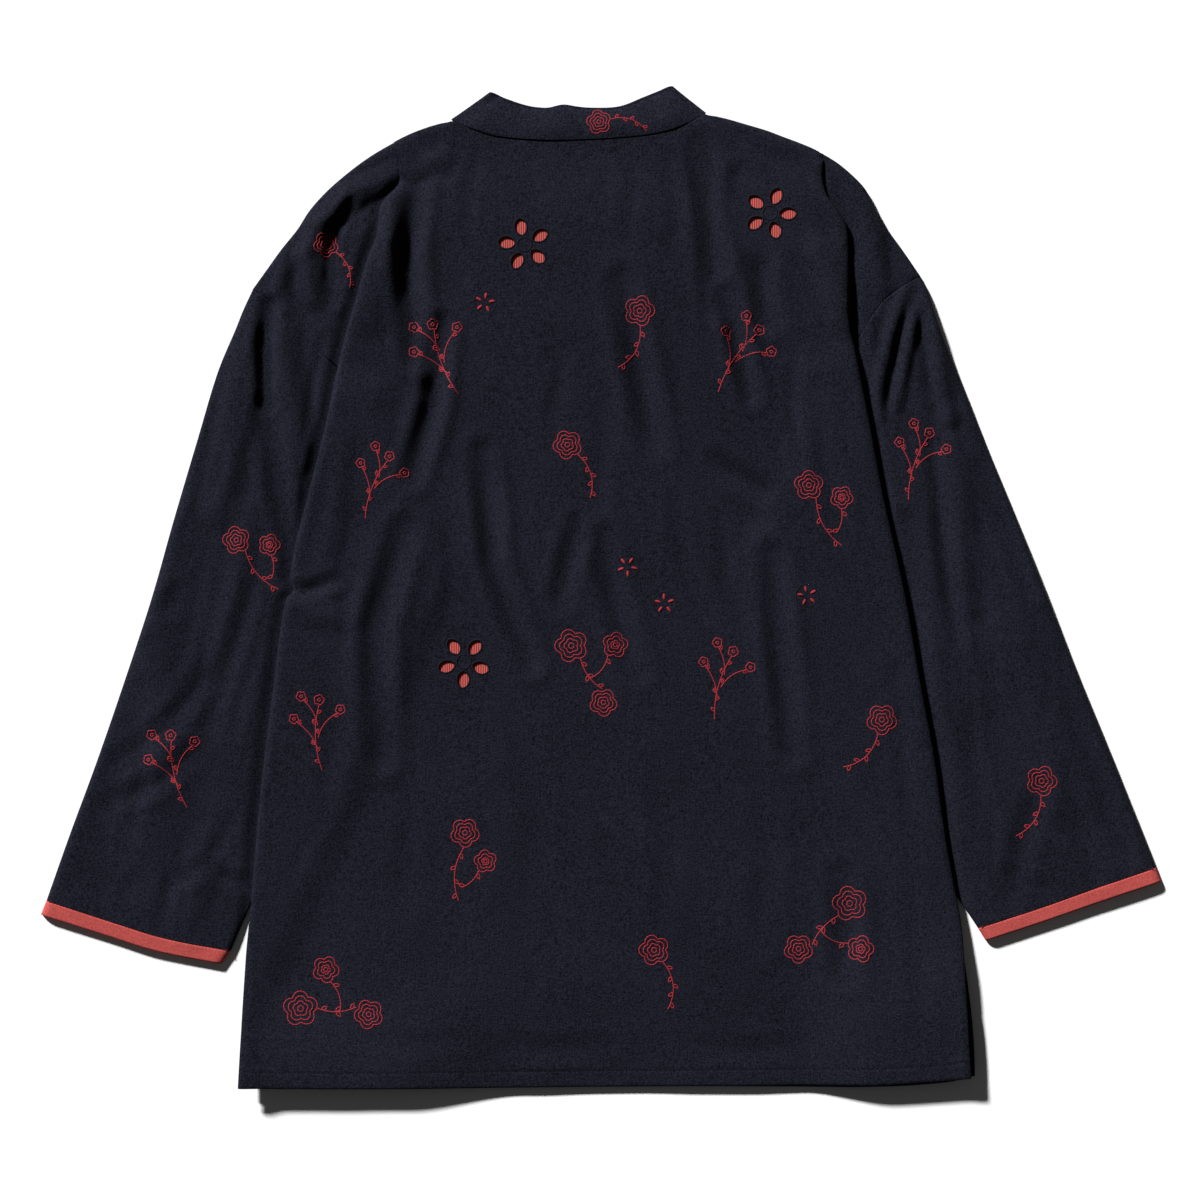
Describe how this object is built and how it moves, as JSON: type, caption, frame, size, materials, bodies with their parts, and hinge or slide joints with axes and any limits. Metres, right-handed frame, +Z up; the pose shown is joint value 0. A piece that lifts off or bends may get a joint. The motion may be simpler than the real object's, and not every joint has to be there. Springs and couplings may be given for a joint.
{
  "type": "chinese-style jacket",
  "caption": "Stand-collar jacket with dropped shoulders and wide sleeves with red end bands, laid flat on its front, back up, with openwork blossoms.",
  "frame": {"origin": "middle of the bounding box, on the surface the jacket lies on", "axes": "+Z up out of the back panel, +Y towards the collar, +X towards the wearer's right sleeve"},
  "size_m": [0.8508, 0.762, 0.0161],
  "materials": {
    "navy_cloth": "brushed plain-weave cotton, very dark navy",
    "red_cloth": "ribbed cotton, brick red",
    "red_band": "plain cotton, brick red"
  },
  "bodies": {
    "root": {"back": "navy_cloth", "backing_1": "red_cloth", "backing_2": "red_cloth", "backing_3": "red_cloth", "left_front": "navy_cloth", "right_front": "navy_cloth", "left_sleeve": "navy_cloth", "right_sleeve": "navy_cloth", "left_cuff_band": "red_band", "right_cuff_band": "red_band", "collar": "navy_cloth"}
  },
  "joints": []
}
